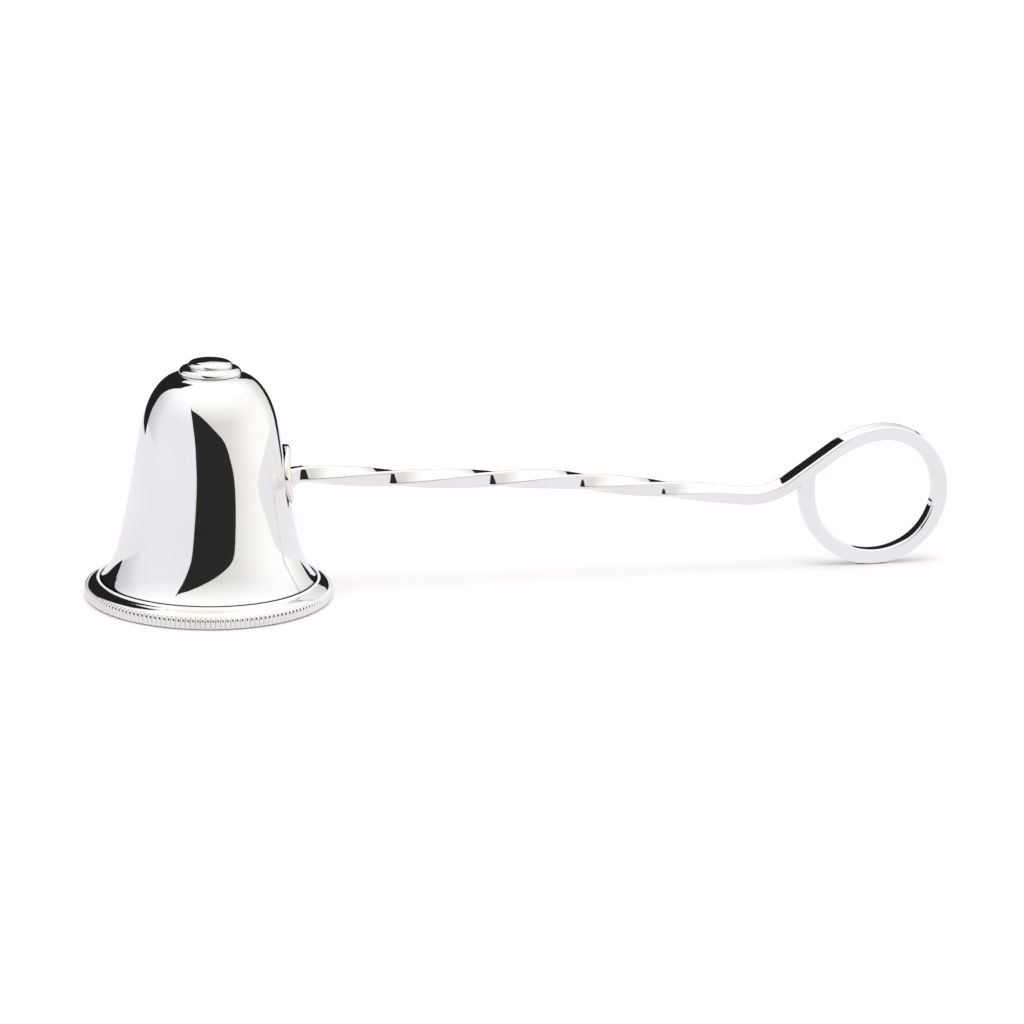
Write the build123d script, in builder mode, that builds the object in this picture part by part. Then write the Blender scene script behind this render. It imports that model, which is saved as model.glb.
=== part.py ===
from build123d import *
import os
from math import cos, radians, sin

# Candle snuffer in silver, in millimetres. The bell stands on its mouth at z = 0 with its axis
# on Z, and the handle runs along +X until its finger ring touches the same ground.

# Bell, spun from thin sheet
bell_height = 39.8
bell_wall = 0.9
mouth_radius = 20.6
# The lip is the line where the border's shoulder meets the bell
lip_inset_width = 1.35
lip_height = 3.07
lip_radius = mouth_radius - lip_inset_width
# Bell's side from the lip to the crown: share of the radius left, share of the height climbed
bell_side_share = (
    (0.910, 0.034),
    (0.805, 0.107),
    (0.711, 0.243),
    (0.5935, 0.488),
    (0.486, 0.733),
    (0.362, 0.883),
    (0.190, 0.967),
)
bell_side_points = 16
quarter_circle = 90.0

# Crown, two rounded steps
crown_disc_radius = 5.4
crown_disc_height = 1.3
crown_disc_round = 1.1
crown_button_radius = 3.85
crown_button_height = 1.3
crown_button_rise = 0.35

# Rim border, a milled wire with a smooth shoulder
border_width = 1.2
shoulder_depth = 0.72
reed_count = 158
reed_offset_width = 0.06
reed_radius = 0.45
band_bottom = 0.12
band_top = 2.12
border_radius = mouth_radius + border_width
reed_circle_radius = border_radius + reed_offset_width
shoulder_height = lip_height - shoulder_depth

# Rosette, a round plate shaped to the bell's side, that carries the handle
rosette_radius = 5.8
rosette_thickness = 0.75
rosette_height = 21.0
rosette_tilt = 7.0

# Foot, the flare between rosette and wire, which is let into the rosette's face
foot_length = 2.06
foot_width = 4.5
# Foot's outline: share of its length, share of the flare still left
foot_flare_share = ((0.3, 0.48), (0.65, 0.14))

# Square wire of the handle
wire_width = 2.75
wire_corner = 0.22

# Finger ring, bend and climb of the wire, with the middle of its lowest point at ring_x
ring_x = 125.66
ring_low_radius = 13.94
ring_right_radius = 11.84
ring_top_radius = 18.17
ring_low_turn = 27.8
ring_right_turn = 158.4
ring_top_turn = 28.6
climb_length = 9.86
bend_radius = 14.0
bend_turn = 41.7

# Stem: how far it bows up from a straight line, as share of its length and share of the bow
stem_bow = 1.25
stem_bow_share = ((0.236, 0.1), (0.415, 0.62), (0.56, 1.0), (0.74, 0.58))

# Twist of the stem: share of its length from the ring end, quarter turns at that place
twist_share = (
    (0.0, 0.30),
    (0.051, 0.34),
    (0.115, 0.51),
    (0.19, 0.83),
    (0.38, 1.83),
    (0.585, 2.83),
    (0.806, 3.83),
    (1.0, 4.83),
)
# Turn that the wire keeps beyond the stem, in quarter turns
climb_turn = 0.20
ring_top_twist = 0.12
stem_sections = 36
arc_section_step = 15.0


def bell_side():
    """Points of the bell's outer side from the lip to the crown."""
    width = lip_radius - crown_disc_radius
    height = bell_height - lip_height
    points = [(lip_radius, lip_height)]
    for width_share, height_share in bell_side_share:
        points.append((crown_disc_radius + width * width_share, lip_height + height * height_share))
    points.append((crown_disc_radius, bell_height))
    return points


def bell_radius(level):
    """Outer radius of the bell at a height on its side."""
    points = bell_side()
    for (low_radius, low), (high_radius, high) in zip(points, points[1:]):
        if level <= high:
            return low_radius + (high_radius - low_radius) * (level - low) / (high - low)
    return crown_disc_radius


def inward(edge, share):
    """Point a wall's thickness inside the bell's outer side, at a share of that side."""
    along = edge % share
    return (edge @ share) + Vector(-along.Y, along.X) * bell_wall


def between(table, share):
    """Value of a table of pairs at a share, in straight steps."""
    for (start, first), (end, last) in zip(table, table[1:]):
        if share <= end:
            return first + (last - first) * (share - start) / (end - start)
    return table[-1][1]


# Body of the bell as if it were solid, which the other pieces are fitted to
with BuildPart() as bell_core:
    with BuildSketch(Plane.XZ):
        with BuildLine():
            mouth = TangentArc((mouth_radius, 0), (lip_radius, lip_height), tangent=(0, 1))
            outside = Spline(bell_side())
            Polyline(outside @ 1, (0, bell_height), (0, 0), mouth @ 0)
        make_face()
    revolve(axis=Axis.Z)

# Its inner side follows the outer one at the sheet's thickness
with BuildPart() as bell:
    with BuildSketch(Plane.XZ):
        with BuildLine():
            mouth = TangentArc((mouth_radius, 0), (lip_radius, lip_height), tangent=(0, 1))
            outside = Spline(bell_side())
            inside = Spline(
                [inward(outside, i / bell_side_points) for i in range(bell_side_points + 1)]
            )
            inner_mouth = TangentArc((mouth_radius - bell_wall, 0), inside @ 0, tangent=(0, 1))
            Line(mouth @ 0, inner_mouth @ 0)
            Polyline(inside @ 1, (0, bell_height - bell_wall), (0, bell_height), outside @ 1)
        make_face()
    revolve(axis=Axis.Z)
bell.part.label = "bell"

# Rim border: a band of reeds round a smooth shoulder, which is hollowed to seat on the bell
with BuildPart() as rim_border:
    with BuildSketch(Plane.XY.offset(band_bottom)):
        Circle(reed_circle_radius)
        with PolarLocations(reed_circle_radius, reed_count):
            Circle(reed_radius)
        Circle(mouth_radius + border_width / 2, mode=Mode.SUBTRACT)
    extrude(amount=band_top - band_bottom)
    with BuildSketch(Plane.XZ):
        with BuildLine():
            seat = TangentArc((mouth_radius, 0), (lip_radius, lip_height), tangent=(0, 1))
            Polyline(seat @ 0, (border_radius, 0), (border_radius, shoulder_height))
            EllipticalCenterArc(
                (lip_radius, shoulder_height),
                border_radius - lip_radius,
                shoulder_depth,
                start_angle=0,
                arc_size=quarter_circle,
            )
        make_face()
    revolve(axis=Axis.Z)
rim_border.part.label = "rim_border"

with BuildPart() as crown_disc:
    with BuildSketch(Plane.XY.offset(bell_height)):
        Circle(crown_disc_radius)
    extrude(amount=crown_disc_height)
    fillet(crown_disc.faces().sort_by(Axis.Z)[-1].edges(), crown_disc_round)
crown_disc.part.label = "crown_disc"

with BuildPart() as crown_button:
    crown_top = bell_height + crown_disc_height
    with BuildSketch(Plane.XZ):
        with BuildLine():
            edge = crown_button_height - crown_button_rise
            Polyline(
                (0, crown_top + crown_button_height),
                (0, crown_top),
                (crown_button_radius, crown_top),
            )
            side = JernArc((crown_button_radius, crown_top), (0, 1), edge, quarter_circle)
            Spline(
                side @ 1,
                (0, crown_top + crown_button_height),
                tangents=[(-1, 0), (-1, 0)],
            )
        make_face()
    revolve(axis=Axis.Z)
crown_button.part.label = "crown_button"

# Rosette plate: it leans with the bell's side and follows its curve
rosette_lean = radians(rosette_tilt)
rosette_normal = Vector(cos(rosette_lean), 0, sin(rosette_lean))
rosette_reach = rosette_thickness / cos(rosette_lean)
rosette_face = Plane(
    origin=(bell_radius(rosette_height) + rosette_reach, 0, rosette_height),
    x_dir=(0, 1, 0),
    z_dir=rosette_normal,
)

with BuildPart() as rosette_jacket:
    jacket_low = rosette_height - rosette_radius - rosette_thickness
    jacket_high = rosette_height + rosette_radius
    with BuildSketch(Plane.XZ):
        with BuildLine():
            Polyline(
                (0, jacket_low),
                (bell_radius(jacket_low) + rosette_reach, jacket_low),
                (bell_radius(jacket_high) + rosette_reach, jacket_high),
                (0, jacket_high),
                close=True,
            )
        make_face()
    revolve(axis=Axis.Z)

with BuildPart() as handle_rosette:
    with BuildSketch(rosette_face):
        Circle(rosette_radius)
    extrude(amount=-rosette_radius)
    add(rosette_jacket.part, mode=Mode.INTERSECT)
    add(bell_core.part, mode=Mode.SUBTRACT)
handle_rosette.part.label = "handle_rosette"

# Line of the wire's middle, from the brazed end of the ring round to the foot
stem_start = rosette_face.origin + rosette_normal * foot_length
with BuildLine(Plane.XZ) as wire_line:
    low = JernArc(
        (ring_x - ring_low_radius, wire_width / 2 + ring_low_radius),
        (0, -1),
        ring_low_radius,
        quarter_circle + ring_low_turn,
    )
    right = JernArc(low @ 1, low % 1, ring_right_radius, ring_right_turn)
    top = JernArc(right @ 1, right % 1, ring_top_radius, ring_top_turn)
    climb = Line(top @ 1, (top @ 1) + (top % 1) * climb_length)
    bend = JernArc(climb @ 1, climb % 1, bend_radius, -bend_turn)
    chord = stem_start - (bend @ 1)
    bow = Vector(0, 0, stem_bow)
    stem = Spline(
        bend @ 1,
        *[(bend @ 1) + chord * (1 - share) + bow * rise for share, rise in reversed(stem_bow_share)],
        stem_start,
        tangents=[bend % 1, chord],
    )


def wire_plane(edge, share, quarter_turns):
    """Plane square to the wire at a share of an edge, turned with the twist."""
    along = edge % share
    outward = Vector(along.Z, 0, -along.X)
    turn = radians(quarter_circle * quarter_turns)
    across = Vector(0, -1, 0) * cos(turn) - outward * sin(turn)
    return Plane(origin=edge @ share, x_dir=across, z_dir=along)


def arc_sections(edge, turn, first, last):
    """Planes along an arc, spaced evenly, leaving out its far end."""
    count = max(round(turn / arc_section_step), 1)
    return [wire_plane(edge, i / count, first + (last - first) * i / count) for i in range(count)]


planes = arc_sections(low, quarter_circle + ring_low_turn, 0, 0)
planes += arc_sections(right, ring_right_turn, 0, ring_top_twist)
planes += arc_sections(top, ring_top_turn, ring_top_twist, climb_turn)
planes += [wire_plane(climb, share / 4, climb_turn) for share in range(4)]
planes += arc_sections(bend, bend_turn, climb_turn, twist_share[0][1])
planes += [
    wire_plane(stem, i / stem_sections, between(twist_share, i / stem_sections))
    for i in range(stem_sections + 1)
]

with BuildPart() as handle_wire:
    for plane in planes:
        with BuildSketch(plane):
            RectangleRounded(wire_width, wire_width, wire_corner)
    loft()
    # The ring's end runs up into the underside of the climbing strand
    end_plane = planes[0]
    with BuildSketch(end_plane):
        RectangleRounded(wire_width, wire_width, wire_corner)
    climb_run = (climb @ 0) - (climb @ 1)
    end_rise = (climb @ 1).Z + climb_run.Z * (end_plane.origin.X - (climb @ 1).X) / climb_run.X
    extrude(amount=-(end_rise - end_plane.origin.Z))
handle_wire.part.label = "handle_wire"

with BuildPart() as handle_foot:
    flare = foot_width - wire_width
    end = planes[-1]
    root = rosette_face.origin - rosette_normal * rosette_thickness / 2
    for length_share, flare_share in ((0, 1), *foot_flare_share):
        width = wire_width + flare * flare_share
        lean = rosette_normal + (-end.z_dir - rosette_normal) * length_share
        middle = root + (end.origin - root) * length_share
        # The flare hangs below the wire, whose upper side runs on level
        low = Vector(0, 0, -flare * flare_share / 2)
        with BuildSketch(Plane(origin=middle + low, x_dir=end.x_dir, z_dir=lean)):
            RectangleRounded(width, width, wire_corner + flare * flare_share / 2)
    with BuildSketch(Plane(origin=end.origin, x_dir=end.x_dir, z_dir=-end.z_dir)):
        RectangleRounded(wire_width, wire_width, wire_corner)
    loft()
    add(handle_rosette.part, mode=Mode.SUBTRACT)
handle_foot.part.label = "handle_foot"

os.makedirs("parts", exist_ok=True)
for piece in (
    bell,
    rim_border,
    crown_disc,
    crown_button,
    handle_rosette,
    handle_foot,
    handle_wire,
):
    export_step(piece.part, f"parts/{piece.part.label}.step")
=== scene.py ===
import bpy
from bisect import bisect_right
from math import atan2, cos, pi, radians, sin, sqrt
from mathutils import Matrix, Vector


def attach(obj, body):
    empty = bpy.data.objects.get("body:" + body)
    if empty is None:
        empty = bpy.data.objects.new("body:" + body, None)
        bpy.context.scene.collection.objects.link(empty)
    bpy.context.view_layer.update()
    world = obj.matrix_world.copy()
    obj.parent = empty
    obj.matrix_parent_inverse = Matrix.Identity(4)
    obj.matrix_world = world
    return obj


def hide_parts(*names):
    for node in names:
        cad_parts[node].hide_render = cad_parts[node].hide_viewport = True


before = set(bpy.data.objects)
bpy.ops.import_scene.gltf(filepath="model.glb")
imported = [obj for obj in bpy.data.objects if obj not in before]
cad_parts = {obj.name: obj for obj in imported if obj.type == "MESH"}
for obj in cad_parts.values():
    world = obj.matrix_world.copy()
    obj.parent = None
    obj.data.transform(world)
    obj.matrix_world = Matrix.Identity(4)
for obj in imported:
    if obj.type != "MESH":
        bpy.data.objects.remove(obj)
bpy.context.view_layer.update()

# Camera: a 100 mm lens half a metre from the bell, a little above it and to its left, held
# nearly level. Its frame is 1024 by 1024.
mm = 0.001
camera_place = Vector((-83.0, -475.7, 146.7)) * mm
camera_turn = radians(16.19)
camera_dip = radians(15.14)
camera_roll = radians(1.99)
ahead = Vector((
    sin(camera_turn) * cos(camera_dip), cos(camera_turn) * cos(camera_dip), -sin(camera_dip)))
level = Vector((cos(camera_turn), -sin(camera_turn), 0))
upright = level.cross(ahead)
side = level * cos(camera_roll) + upright * sin(camera_roll)
top = upright * cos(camera_roll) - level * sin(camera_roll)

bpy.ops.object.select_all(action="DESELECT")
bpy.ops.object.camera_add()
camera = bpy.context.object
camera.data.lens = 100.0
camera.data.sensor_width = 36.0
camera.data.clip_start = 10 * mm
camera.matrix_world = Matrix((side, top, -ahead)).transposed().to_4x4()
camera.matrix_world.translation = camera_place
bpy.context.scene.camera = camera
bpy.context.scene.view_settings.view_transform = "Standard"

# Light tent: white walls all round, a little lilac on the left and warm on the right, with a
# large soft lamp above. The dark places are its openings, and the one in front is where the
# camera looks in.


def linear(code, strength=1.0):
    """An sRGB hex colour as the linear colour that shaders take."""
    shares = [int(code[i:i + 2], 16) / 255 for i in (0, 2, 4)]
    values = [s / 12.92 if s <= 0.04045 else ((s + 0.055) / 1.055) ** 2.4 for s in shares]
    return (*[value * strength for value in values], 1.0)


def add_node(tree, kind, inputs=None, **settings):
    """A shader node with its settings; each input is a value, or another node's output."""
    node = tree.nodes.new(kind)
    for name, value in settings.items():
        setattr(node, name, value)
    for name, value in (inputs or {}).items():
        if isinstance(value, bpy.types.NodeSocket):
            tree.links.new(value, node.inputs[name])
        else:
            node.inputs[name].default_value = value
    return node


studio = bpy.data.worlds.new("white_tent")
bpy.context.scene.world = studio
studio.use_nodes = True
sky = studio.node_tree
sky.nodes.clear()
look = add_node(sky, "ShaderNodeTexCoord")
split = add_node(sky, "ShaderNodeSeparateXYZ", {"Vector": look.outputs["Generated"]})

# Right and front: warm paper that brightens towards the right, and turns grey at the back
rightward = add_node(sky, "ShaderNodeMapRange", {
    "Value": split.outputs["X"], "From Min": -0.2, "From Max": 0.95})
warm_wall = add_node(sky, "ShaderNodeValToRGB", {"Fac": rightward.outputs["Result"]})
warm_wall.color_ramp.elements[0].color = linear("E3E1DF")
warm_wall.color_ramp.elements[1].color = linear("FFFEFC", 1.16)
warm_wall.color_ramp.elements.new(0.55).color = linear("F2F0EE")
backward = add_node(sky, "ShaderNodeMapRange", {
    "Value": split.outputs["Y"], "From Min": 0.2, "From Max": 0.8})
right_wall = add_node(sky, "ShaderNodeMix", {
    0: backward.outputs["Result"], 6: warm_wall.outputs["Color"], 7: linear("E8E7E6")},
    data_type="RGBA")

# Left: a lilac panel that turns grey at the back. Its straight edge is a plane through the
# bell.
lilac_wall = add_node(sky, "ShaderNodeValToRGB", {"Fac": backward.outputs["Result"]})
lilac_wall.color_ramp.elements[0].color = linear("F9F8FF", 1.02)
lilac_wall.color_ramp.elements[1].color = linear("D3D2DA")
beyond = add_node(sky, "ShaderNodeVectorMath", {
    0: look.outputs["Generated"], 1: (-0.736, 0.399, -0.321)}, operation="DOT_PRODUCT")
panel = add_node(sky, "ShaderNodeMapRange", {
    "Value": beyond.outputs["Value"], "From Min": -0.012, "From Max": 0.012})
walls = add_node(sky, "ShaderNodeMix", {
    0: panel.outputs["Result"], 6: right_wall.outputs[2], 7: lilac_wall.outputs["Color"]},
    data_type="RGBA")

# Above: the tent's bright top
overhead = add_node(sky, "ShaderNodeMapRange", {
    "Value": split.outputs["Z"], "From Min": 0.38, "From Max": 0.85})
tent = add_node(sky, "ShaderNodeMix", {
    0: overhead.outputs["Result"], 6: walls.outputs[2], 7: linear("FFFFFF", 1.25)},
    data_type="RGBA")
glow = add_node(sky, "ShaderNodeBackground", {"Color": tent.outputs[2], "Strength": 1.0})
add_node(sky, "ShaderNodeOutputWorld", {"Surface": glow.outputs["Background"]})

bell_middle = Vector((0, 0, 20)) * mm


def across_tent(distance, corners):
    """Places in a flat panel across the tent, at a distance in metres along Y, that the bell
    sees at these azimuths and elevations, in degrees."""
    places = []
    for azimuth, elevation in corners:
        turn, rise = radians(azimuth), radians(elevation)
        away = Vector((sin(turn), -cos(turn), sin(rise) / cos(rise)))
        places.append(bell_middle + away * distance / away.y)
    return places


def on_table(height, corners):
    """Places on the table at a height, all in mm."""
    return [Vector((x, y, height)) * mm for x, y in corners]


def tent_panel(name, places, colour):
    """A flat sheet that only the silver sees."""
    mesh = bpy.data.meshes.new(name)
    mesh.from_pydata(places, [], [range(len(places))])
    card = bpy.data.objects.new(name, mesh)
    bpy.context.scene.collection.objects.link(card)
    paint = bpy.data.materials.new(name)
    paint.use_nodes = True
    paint.node_tree.nodes.clear()
    shine = add_node(paint.node_tree, "ShaderNodeEmission", {"Color": linear(colour)})
    add_node(paint.node_tree, "ShaderNodeOutputMaterial", {"Surface": shine.outputs["Emission"]})
    mesh.materials.append(paint)
    card.visible_camera = False
    card.visible_diffuse = False
    card.visible_shadow = False


back_dark = "242423"
tent_panel("front_opening", across_tent(-0.5, [
    (-26, -3), (-28, 3), (-31, 6), (-34, 10), (-37, 16), (-40, 22), (-44, 29), (-49, 36),
    (-56, 45), (-50, 39.8), (-44, 38), (-37, 36.5), (-30, 34), (-24, 31.5), (-19, 28.9),
    (-14, 26.1), (-9, 23.2), (-4, 20.3), (1, 17.4), (6, 14.4), (11, 11.5), (16, 8.7),
    (21, 6.1), (26, 3.5), (29, 1.5), (30, -3)]), "2B2D2C")
tent_panel("back_opening_low", across_tent(0.3, [
    (-137, -3.5), (-137, 6), (-137, 14), (-138, 22), (-160, 24), (180, 24), (160, 22),
    (155, 21), (150, 17), (143, 13), (138, 9), (134, 3), (132, -3.5)]), back_dark)
tent_panel("back_opening_high", across_tent(2.0, [
    (-137, 10), (-138, 20), (-135, 30.5), (-132, 41.5), (-127, 52.5), (-141, 60.5),
    (-161, 60.5), (-165, 43), (-172, 40), (-177, 38), (179, 36.5), (169, 30), (157, 27),
    (152, 20), (150, 10)]), back_dark)
tent_panel("lilac_table", on_table(0.3, [
    (-2900, -2900), (2900, -2900), (2900, 2900), (-2900, 2900)]), "FBF9FF")
tent_panel("table_end", on_table(1, [
    (91, 62), (170, 140), (330, 290), (330, 300), (130, 300), (115, 120), (64, 68)]),
    back_dark)

bpy.ops.object.light_add(type="SUN", rotation=(radians(6), radians(-4), 0))
lamp = bpy.context.object
lamp.data.energy = 1.3
lamp.data.angle = radians(38)
lamp.visible_glossy = False

# Floor: the tent's seamless white paper, on which the snuffer stands. It is uncoated, so it
# is matt and throws soft light back without a shine.
bpy.ops.mesh.primitive_plane_add(size=6.0)
floor = bpy.context.object
floor.name = "floor"
paper = bpy.data.materials.new("white_paper")
paper.use_nodes = True
paper_bsdf = paper.node_tree.nodes["Principled BSDF"]
paper_bsdf.inputs["Base Color"].default_value = linear("DFDDDC")
paper_bsdf.inputs["Roughness"].default_value = 0.9
paper_bsdf.inputs["Specular IOR Level"].default_value = 0.1
floor.data.materials.append(paper)

# Bell: sterling silver sheet, spun over a form to a domed shoulder and a flared mouth, then
# buffed to a mirror.
facets = 64


def turned(name, outline):
    """A shell turned up ring by ring from (radius, height) pairs in mm, starting at its edge.
    It is left in edit mode."""
    bpy.ops.object.select_all(action="DESELECT")
    radius, height = outline[0]
    bpy.ops.mesh.primitive_circle_add(
        vertices=facets, radius=radius * mm, location=(0, 0, height * mm))
    piece = bpy.context.object
    piece.name = name
    bpy.ops.object.mode_set(mode="EDIT")
    bpy.ops.mesh.select_all(action="SELECT")
    for next_radius, next_height in outline[1:]:
        bpy.ops.mesh.extrude_region_move(
            TRANSFORM_OT_translate={"value": (0, 0, (next_height - height) * mm)})
        growth = next_radius / radius
        bpy.ops.transform.resize(value=(growth, growth, 1), center_override=(0, 0, 0))
        radius, height = next_radius, next_height
    return piece


def allowed(outline):
    """The outline made wider by the share that smoothing takes off a round of facets."""
    kept = (2 + cos(2 * pi / facets)) / 3
    return [(radius / kept, height) for radius, height in outline]


def modified(piece, kind, **settings):
    """Adds a modifier to the piece and applies it."""
    bpy.ops.object.modifier_add(type=kind)
    modifier = piece.modifiers[-1]
    for name, value in settings.items():
        setattr(modifier, name, value)
    bpy.ops.object.modifier_apply(modifier=modifier.name)


def smoothed(piece):
    """Leaves edit mode with the piece's place in its mesh and its faces pointing outwards,
    and rounds its facets off."""
    bpy.ops.mesh.select_all(action="SELECT")
    bpy.ops.mesh.remove_doubles(threshold=0.001 * mm)
    bpy.ops.mesh.normals_make_consistent(inside=False)
    bpy.ops.object.mode_set(mode="OBJECT")
    bpy.ops.object.transform_apply(location=True, rotation=True, scale=True)
    bpy.ops.object.shade_smooth()
    modified(piece, "SUBSURF", levels=2, render_levels=2)


bell_wall = 0.9
bell_outline = [
    (20.6, 0), (20.478, 1.0), (20.089, 2.0), (19.62, 2.66), (19.35, 3.16), (19.15, 3.22),
    (18.95, 3.28), (18.75, 3.41), (18.45, 3.72), (17.84, 4.5), (16.83, 6.32), (16.13, 8.24),
    (15.62, 10.22), (14.81, 14.23), (14.08, 18.25), (13.42, 22.29), (12.79, 26.33),
    (12.06, 30.36), (11.59, 32.35), (10.95, 34.29), (10.07, 36.13), (8.88, 37.79),
    (7.98, 38.63), (7.31, 39.09), (6.57, 39.45), (5.4, 39.8), (3.6, 39.9), (1.6, 39.9)]
bell = turned("spun_bell", allowed(bell_outline))
bpy.ops.mesh.merge(type="CENTER")
smoothed(bell)
modified(bell, "SOLIDIFY", thickness=bell_wall * mm, offset=-1, use_even_offset=True)
for vertex in bell.data.vertices:
    vertex.co.z = max(vertex.co.z, 0)
crisp_edge = radians(40)
bpy.ops.object.shade_smooth_by_angle(angle=crisp_edge)


def silver(name, warm, haze):
    """Sterling silver, buffed: nearly white, a mirror with the faintest haze and hairlines
    where the mop has passed, and a warmer tone in soft clouds where it begins to tarnish."""
    cloud_mm = 14
    # The hairlines run round the piece. Real ones are too fine to show, so these are drawn
    # about five times as wide, and 14 times as long as they are wide.
    hairline_mm, drawn_out = 0.05, 14
    material = bpy.data.materials.new(name)
    material.use_nodes = True
    tree = material.node_tree
    bsdf = tree.nodes["Principled BSDF"]
    bsdf.inputs["Metallic"].default_value = 1.0
    place = add_node(tree, "ShaderNodeTexCoord")
    clouds = add_node(tree, "ShaderNodeTexNoise", {
        "Vector": place.outputs["Object"], "Scale": 1 / (cloud_mm * mm), "Detail": 3.0})
    tone = add_node(tree, "ShaderNodeValToRGB", {"Fac": clouds.outputs["Fac"]})
    tone.color_ramp.elements[0].position = 0.35
    tone.color_ramp.elements[0].color = linear(warm)
    tone.color_ramp.elements[1].position = 0.6
    tone.color_ramp.elements[1].color = linear("EEEDED")
    tree.links.new(tone.outputs["Color"], bsdf.inputs["Base Color"])
    stretch = add_node(tree, "ShaderNodeMapping", {
        "Vector": place.outputs["Object"], "Scale": (1.0, 1.0, drawn_out)})
    hairs = add_node(tree, "ShaderNodeTexNoise", {
        "Vector": stretch.outputs["Vector"], "Scale": 1 / (hairline_mm * drawn_out * mm),
        "Detail": 2.0})
    dull = add_node(tree, "ShaderNodeMapRange", {
        "Value": hairs.outputs["Fac"], "From Min": 0.35, "From Max": 0.75,
        "To Min": haze * 0.6, "To Max": haze * 1.6})
    tree.links.new(dull.outputs["Result"], bsdf.inputs["Roughness"])
    scratch = add_node(tree, "ShaderNodeBump", {
        "Height": hairs.outputs["Fac"], "Strength": 0.02, "Distance": 0.002 * mm})
    tree.links.new(scratch.outputs["Normal"], bsdf.inputs["Normal"])
    return material


def band(tree, inner_mm, outer_mm):
    """A mask that is 1 between two distances from the bell's axis, in mm, and 0 elsewhere."""
    blur_mm = 0.05
    place = add_node(tree, "ShaderNodeTexCoord")
    level_part = add_node(tree, "ShaderNodeVectorMath", {
        0: place.outputs["Object"], 1: (1, 1, 0)}, operation="MULTIPLY")
    reach = add_node(tree, "ShaderNodeVectorMath", {0: level_part.outputs["Vector"]},
                     operation="LENGTH")
    edges = [add_node(tree, "ShaderNodeMapRange", {
        "Value": reach.outputs["Value"], "From Min": (radius - blur_mm) * mm,
        "From Max": (radius + blur_mm) * mm}) for radius in (inner_mm, outer_mm)]
    return add_node(tree, "ShaderNodeMath", {
        0: edges[0].outputs["Result"], 1: edges[1].outputs["Result"]}, operation="SUBTRACT")


# A dark line of painted shade lies in the corner against the border, where the crevice falls
# into shade and reflects dark. The inside of the bell, below the line, is kept clear of it.
buffed_warm, buffed_haze = "EBE9E6", 0.03
corner_silver = silver("buffed_silver_with_tarnished_corner", buffed_warm, buffed_haze)
tree = corner_silver.node_tree
corner = band(tree, 18.7, 18.98)
place = add_node(tree, "ShaderNodeTexCoord")
above = add_node(tree, "ShaderNodeSeparateXYZ", {"Vector": place.outputs["Object"]})
outside = add_node(tree, "ShaderNodeMapRange", {
    "Value": above.outputs["Z"], "From Min": 2.95 * mm, "From Max": 3.05 * mm})
stain = add_node(tree, "ShaderNodeMath", {
    0: corner.outputs["Value"], 1: outside.outputs["Result"]}, operation="MULTIPLY")
shade = tree.nodes["Principled BSDF"].inputs["Base Color"]
# Painted shade: the corner line is mixed to near black.
tarnished = add_node(tree, "ShaderNodeMix", {
    0: stain.outputs["Value"], 6: shade.links[0].from_socket, 7: linear("2E2B29")},
    data_type="RGBA")
tree.links.new(tarnished.outputs[2], shade)


def fitted(piece, node, material):
    """Gives the piece its finish, and puts it on the snuffer's one body in its node's place."""
    piece.data.materials.clear()
    piece.data.materials.append(material)
    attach(piece, "root")
    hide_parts(node)


fitted(bell, "bell", corner_silver)

# Rim border: a wire of sterling silver, milled with upright reeds and soldered round the
# mouth. Above the reeds its smooth shoulder rolls in to a fine bead against the bell, painted
# white as a highlight.
border_outline = [
    (20.72, 0), (20.72, 0.02), (21.0, 0.02), (21.25, 0.02), (21.33, 0.1), (21.35, 0.5),
    (21.35, 1.45), (21.33, 1.8), (21.24, 2.05), (21.06, 2.3), (20.8, 2.52), (20.45, 2.72),
    (20.05, 2.88), (19.78, 3.0), (19.6, 3.1), (19.5, 3.25), (19.4, 3.38), (19.28, 3.42),
    (19.16, 3.38), (18.98, 3.24), (18.95, 3.1), (19.15, 2.9), (19.7, 2.3), (20.3, 1.4),
    (20.6, 0.6), (20.72, 0)]
border = turned("milled_border", allowed(border_outline))
smoothed(border)

# Each reed is a ball, drawn out upwards and downwards, that stands half out of the wire
reed_count = 158
reed_sides = 10
reed_radius = 0.5
reed_middle = Vector((21.2, 0, 1.12)) * mm
reed_drawn = 0.55
bpy.ops.object.select_all(action="DESELECT")
bpy.ops.mesh.primitive_uv_sphere_add(
    segments=reed_sides, ring_count=8, radius=reed_radius * mm, location=reed_middle,
    rotation=(0, 0, pi / reed_sides))
reed = bpy.context.object
bpy.ops.object.transform_apply(location=True, rotation=True, scale=True)
for end in (1, -1):
    bpy.ops.object.mode_set(mode="EDIT")
    bpy.ops.mesh.select_all(action="DESELECT")
    bpy.ops.object.mode_set(mode="OBJECT")
    for vertex in reed.data.vertices:
        vertex.select = (vertex.co.z - reed_middle.z) * end > 0.01 * mm
    bpy.ops.object.mode_set(mode="EDIT")
    bpy.ops.transform.translate(value=(0, 0, end * reed_drawn * mm))
bpy.ops.object.mode_set(mode="OBJECT")
reeds = [reed]
for number in range(1, reed_count):
    copy = reed.copy()
    copy.data = reed.data.copy()
    copy.rotation_euler.z = 2 * pi * number / reed_count
    bpy.context.scene.collection.objects.link(copy)
    reeds.append(copy)
bpy.ops.object.select_all(action="DESELECT")
for copy in reeds:
    copy.select_set(True)
border.select_set(True)
bpy.context.view_layer.objects.active = border
bpy.ops.object.join()
bpy.ops.object.shade_smooth()
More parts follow.
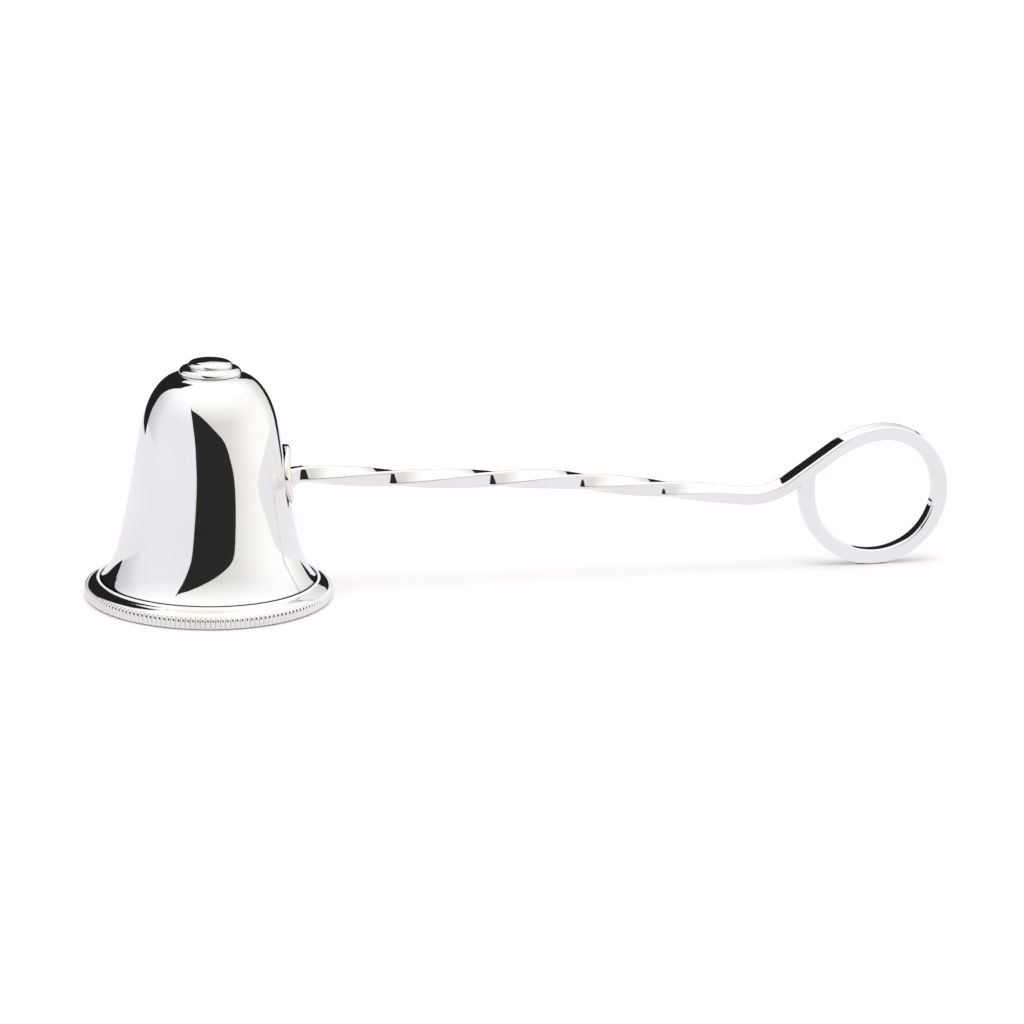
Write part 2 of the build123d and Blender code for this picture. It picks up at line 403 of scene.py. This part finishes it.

# Milled silver is buffed more lightly than the bell, so it is a little duller. The bead carries
# a painted highlight: it is made dull and mostly not metallic, so it shows white all round.
milled_silver = silver("milled_sterling_silver", "E6E3DF", 0.05)
tree = milled_silver.node_tree
bead = band(tree, 19.1, 19.5)
finish = tree.nodes["Principled BSDF"].inputs
frosted = add_node(tree, "ShaderNodeMath", {
    0: bead.outputs["Value"], 1: 0.6, 2: finish["Roughness"].links[0].from_socket},
    operation="MULTIPLY_ADD")
tree.links.new(frosted.outputs["Value"], finish["Roughness"])
# Painted highlight: the bead's metal is turned down so its pale base colour shows white.
chalky = add_node(tree, "ShaderNodeMath", {
    0: bead.outputs["Value"], 1: -0.75, 2: 1.0}, operation="MULTIPLY_ADD")
tree.links.new(chalky.outputs["Value"], finish["Metallic"])
fitted(border, "rim_border", milled_silver)

# Crown: two small turned steps of sterling silver on top of the bell, one soldered on the
# other, with rounded edges and a fine seam at the foot of each. They are buffed to a mirror.
buffed_silver = silver("buffed_sterling_silver", buffed_warm, buffed_haze)
disc = turned("crown_step", allowed([
    (3.0, 39.8), (5.15, 39.8), (5.35, 39.8), (5.4, 39.88), (5.4, 40.05), (5.36, 40.3),
    (5.22, 40.6), (4.95, 40.85), (4.6, 41.02), (4.2, 41.09), (3.9, 41.1), (2.5, 41.1)]))
smoothed(disc)
fitted(disc, "crown_disc", buffed_silver)

button = turned("crown_knob", allowed([
    (2.0, 41.1), (3.65, 41.1), (3.82, 41.1), (3.85, 41.18), (3.82, 41.4), (3.68, 41.68),
    (3.4, 41.9), (3.0, 42.06), (2.5, 42.18), (1.8, 42.3), (1.0, 42.38), (0.4, 42.4)]))
bpy.ops.mesh.merge(type="CENTER")
smoothed(button)
fitted(button, "crown_button", buffed_silver)

# Rosette: a round plate of sterling silver that carries the handle. It is hammered to the
# curve of the bell's side, softened round its edge and soldered on.
rosette_height = 21.0
rosette = turned("rosette_plate", [
    (0.6, 0.0), (3.0, 0.0), (5.4, 0.0), (5.58, 0.0), (5.6, 0.06), (5.6, 0.36), (5.54, 0.54),
    (5.38, 0.67), (5.1, 0.74), (4.6, 0.76), (3.4, 0.76), (2.0, 0.76), (0.6, 0.76)])
smoothed(rosette)

# The plate thins towards its foot. Its top edge stands off the bell and its foot is let in.
side_radius, side_lean, side_flare = 13.62, -0.1635, 0.003
plate_swell, thinning_above, thinning_below = 1.2, 0.01, 0.15
stand_off, stand_off_from = 0.08, 3.0
let_in, let_in_from = 0.06, -2.5
for vertex in rosette.data.vertices:
    up, along, proud = vertex.co / mm
    swell = plate_swell + (thinning_above if up > 0 else thinning_below) * up
    stand = (stand_off * max(up - stand_off_from, 0) ** 2
             - let_in * min(up - let_in_from, 0) ** 2)
    reach = side_radius + side_lean * up + side_flare * up ** 2 + stand + proud * swell
    vertex.co = Vector((sqrt(reach ** 2 - along ** 2), along, rosette_height + up)) * mm
bpy.ops.object.mode_set(mode="EDIT")
bpy.ops.mesh.select_all(action="SELECT")
bpy.ops.mesh.normals_make_consistent(inside=False)
bpy.ops.object.mode_set(mode="OBJECT")
fitted(rosette, "handle_rosette", buffed_silver)

# Handle wire: one length of square sterling wire. Its stem is twisted, its far end is bent
# round into the finger ring, and the ring's end is brazed under the strand that climbs out of
# the stem.
wire_width = 2.75
wire_step = 0.25
stem_lean = radians(7.0)
stem_out = Vector((cos(stem_lean), 0, sin(stem_lean)))
rosette_face = Vector((14.376, 0, rosette_height))
foot_length = 2.06
stem_start = rosette_face + stem_out * foot_length


def arc(points, radius, turn):
    """Adds an arc to a list of (x, z, heading); a positive turn is anticlockwise, in degrees."""
    x, z, heading = points[-1]
    steps = max(round(abs(radius * radians(turn)) / wire_step), 1)
    bend = radians(turn) / steps
    hand = 1 if turn > 0 else -1
    centre = (x - hand * radius * sin(heading), z + hand * radius * cos(heading))
    for i in range(1, steps + 1):
        there = heading + bend * i
        points.append((centre[0] + hand * radius * sin(there),
                       centre[1] - hand * radius * cos(there), there))


def straight(points, length):
    """Adds a straight run to the list."""
    x, z, heading = points[-1]
    steps = max(round(length / wire_step), 1)
    for i in range(1, steps + 1):
        points.append((x + length * cos(heading) * i / steps,
                       z + length * sin(heading) * i / steps, heading))


def eased(start, end, leave, arrive, t):
    """A smooth run from start to end at share t of it, with its slopes at both ends given as
    the change that each would make over the whole run."""
    return (start * (2 * t ** 3 - 3 * t ** 2 + 1) + leave * (t ** 3 - 2 * t ** 2 + t)
            + end * (3 * t ** 2 - 2 * t ** 3) + arrive * (t ** 3 - t ** 2))


def eased_slope(start, end, leave, arrive, t):
    """The slope of that run at share t."""
    return (start * (6 * t ** 2 - 6 * t) + leave * (3 * t ** 2 - 4 * t + 1)
            + end * (6 * t - 6 * t ** 2) + arrive * (3 * t ** 2 - 2 * t))


# The ring from its left side down, round and up, then over its top into the climbing strand
ring_left, ring_radius = 111.72, 13.94
ring_start = (ring_left, wire_width / 2 + ring_radius)
down = -pi / 2
route = [(*ring_start, down)]
arc(route, ring_radius, 117.8)
arc(route, 11.84, 158.4)
right_end = len(route) - 1
arc(route, 18.17, 28.6)
top_end = len(route) - 1
straight(route, 9.86)
climb_end = len(route) - 1
arc(route, 14.0, -41.7)
stem_first = len(route) - 1

# The stem bows up a little: share of its length from the foot, and rise in mm
stem_bow = ((0.236, 0.125), (0.415, 0.775), (0.56, 1.25), (0.74, 0.725))
bend_x, bend_z, bend_heading = route[-1]
chord = Vector((stem_start.x - bend_x, 0, stem_start.z - bend_z))
knots = [Vector((bend_x, 0, bend_z))]
for share, rise in reversed(stem_bow):
    knots.append(knots[0] + chord * (1 - share) + Vector((0, 0, rise)))
knots.append(stem_start)
spans = [(b - a).length for a, b in zip(knots, knots[1:])]
slopes = [Vector((cos(bend_heading), 0, sin(bend_heading)))]
for i in range(1, len(knots) - 1):
    before = (knots[i] - knots[i - 1]) / spans[i - 1]
    after = (knots[i + 1] - knots[i]) / spans[i]
    slopes.append((before * spans[i] + after * spans[i - 1]) / (spans[i] + spans[i - 1]))
slopes.append(chord.normalized())
for i, span in enumerate(spans):
    steps = round(span / wire_step)
    ends = (knots[i], knots[i + 1], slopes[i] * span, slopes[i + 1] * span)
    for k in range(1, steps + 1):
        point = eased(*ends, k / steps)
        run = eased_slope(*ends, k / steps)
        heading = atan2(run.z, run.x)
        while heading < route[-1][2] - pi:
            heading += 2 * pi
        route.append((point.x, point.z, heading))

# The ring's end runs straight up into the middle of the climbing strand
meeting = [z for x, z, _ in route[top_end:climb_end] if x >= ring_start[0]][-1]
lead = [(ring_start[0], meeting, down)]
straight(lead, meeting - ring_start[1])
route = lead + route[1:]
right_end, top_end, climb_end, stem_first = (
    place + len(lead) - 1 for place in (right_end, top_end, climb_end, stem_first))

lengths = [0.0]
for (x, z, _), (next_x, next_z, _) in zip(route, route[1:]):
    lengths.append(lengths[-1] + sqrt((next_x - x) ** 2 + (next_z - z) ** 2))

# Twist, in quarter turns at places along the wire: a breath of it in the ring, and then by
# shares of the stem from its ring end
stem_twist = ((0, 0.30), (0.051, 0.35), (0.115, 0.56), (0.19, 0.9), (0.38, 1.905),
              (0.585, 2.905), (0.806, 3.905), (1.0, 4.905))
stem_length = lengths[-1] - lengths[stem_first]
twist_start = lengths[right_end] - 30
twist_places = [
    (twist_start, 0.0), (lengths[right_end], 0.12), (lengths[top_end], 0.20),
    (lengths[climb_end], 0.20)]
twist_places += [
    (lengths[stem_first] + stem_length * share, turns) for share, turns in stem_twist]


def twist_at(place):
    """Quarter turns of the wire at a length along it, eased between the known places."""
    if place <= twist_start:
        return 0.0
    for i, ((start, first), (end, last)) in enumerate(zip(twist_places, twist_places[1:])):
        if place <= end:
            rates = [0, 0]
            if first != last:
                rounds = [twist_places[max(j - 1, 0):j + 2] for j in (i, i + 1)]
                rates = [(near[-1][1] - near[0][1]) / (near[-1][0] - near[0][0])
                         for near in rounds]
            span = end - start
            return eased(first, last, rates[0] * span, rates[1] * span, (place - start) / span)
    return twist_places[-1][1]


def on_route(place):
    """Point and heading of the wire's middle at a length along it."""
    high = min(bisect_right(lengths, place), len(lengths) - 1)
    share = (place - lengths[high - 1]) / (lengths[high] - lengths[high - 1])
    return [a + (b - a) * share for a, b in zip(route[high - 1], route[high])]


def across_wire(heading, quarter_turns):
    """The directions of the square wire's two sides where it has this heading and twist."""
    turn = radians(90 * quarter_turns)
    outward = Vector((sin(heading), 0, -cos(heading)))
    front = Vector((0, -1, 0))
    return (front * cos(turn) - outward * sin(turn), outward * cos(turn) + front * sin(turn))


def pick_edges(piece, wanted):
    """Enters edit mode with only those edges selected whose two ends pass a test."""
    bpy.context.tool_settings.mesh_select_mode = (False, True, False)
    bpy.ops.object.mode_set(mode="EDIT")
    bpy.ops.mesh.select_all(action="DESELECT")
    bpy.ops.object.mode_set(mode="OBJECT")
    for edge in piece.data.edges:
        start, end = (piece.data.vertices[i].co for i in edge.vertices)
        edge.select = wanted(start, end)
    bpy.ops.object.mode_set(mode="EDIT")


def runs_along(start, end):
    """Whether an edge of a straight bar runs along it."""
    return abs(start.x - end.x) > 0.01


def runs_across(start, end):
    """Whether an edge of a straight bar lies in one of its ends."""
    return not runs_along(start, end)


def is_corner(start, end):
    """Whether an edge of a straight bar is one of its four long corners."""
    half = max(start.y, -start.y, start.z, -start.z)
    return runs_along(start, end) and abs(abs(start.y) - half) + abs(abs(start.z) - half) < 0.01


def cut(piece, wanted, cuts):
    """Cuts the edges that pass a test into cuts + 1 parts each."""
    pick_edges(piece, wanted)
    bpy.ops.mesh.subdivide(number_cuts=cuts)
    bpy.ops.object.mode_set(mode="OBJECT")


def square_bar(name, length, width, rounding, cuts_along):
    """A straight square bar along X from 0, with its long corners rounded."""
    bpy.ops.object.select_all(action="DESELECT")
    bpy.ops.mesh.primitive_cube_add(
        size=1, location=(length / 2, 0, 0), scale=(length, width, width))
    bar = bpy.context.object
    bar.name = name
    bpy.ops.object.transform_apply(location=True, rotation=True, scale=True)
    cut(bar, runs_across, 4)
    pick_edges(bar, is_corner)
    bpy.ops.mesh.bevel(offset=rounding, segments=6, affect="EDGES")
    bpy.ops.object.mode_set(mode="OBJECT")
    for cuts in cuts_along:
        cut(bar, runs_along, cuts)
    return bar


# A straight bar, in mm, is laid along the route and twisted as it goes
wire_rounding = 0.46
wire = square_bar("twisted_wire", lengths[-1], wire_width, wire_rounding, (24, 19))
for vertex in wire.data.vertices:
    x, z, heading = on_route(min(max(vertex.co.x, 0), lengths[-1]))
    across, rise = across_wire(heading, twist_at(vertex.co.x))
    vertex.co = (Vector((x, 0, z)) + across * vertex.co.y + rise * vertex.co.z) * mm
bpy.ops.object.shade_smooth_by_angle(angle=crisp_edge)
modified(wire, "WEIGHTED_NORMAL", weight=100, keep_sharp=True)
fitted(wire, "handle_wire", buffed_silver)

# Handle foot: the wire's own end, upset and filed to a small flare that hangs below it, where
# it is let into the rosette and brazed.
foot_width = 4.5
foot_sunk = 0.375
foot_root = rosette_face - stem_out * foot_sunk
foot = square_bar("wire_foot", 1, 1, wire_rounding / wire_width, (15,))
across, rise = across_wire(route[-1][2], stem_twist[-1][1])
for vertex in foot.data.vertices:
    share = vertex.co.x
    flare = (foot_width - wire_width) * (1 - share) ** 2
    middle = foot_root + (stem_start - foot_root) * share - Vector((0, 0, flare / 2))
    reach = (across * vertex.co.y + rise * vertex.co.z) * (wire_width + flare)
    vertex.co = (middle + reach) * mm
bpy.ops.object.shade_smooth_by_angle(angle=crisp_edge)
modified(foot, "WEIGHTED_NORMAL", weight=100, keep_sharp=True)
fitted(foot, "handle_foot", buffed_silver)
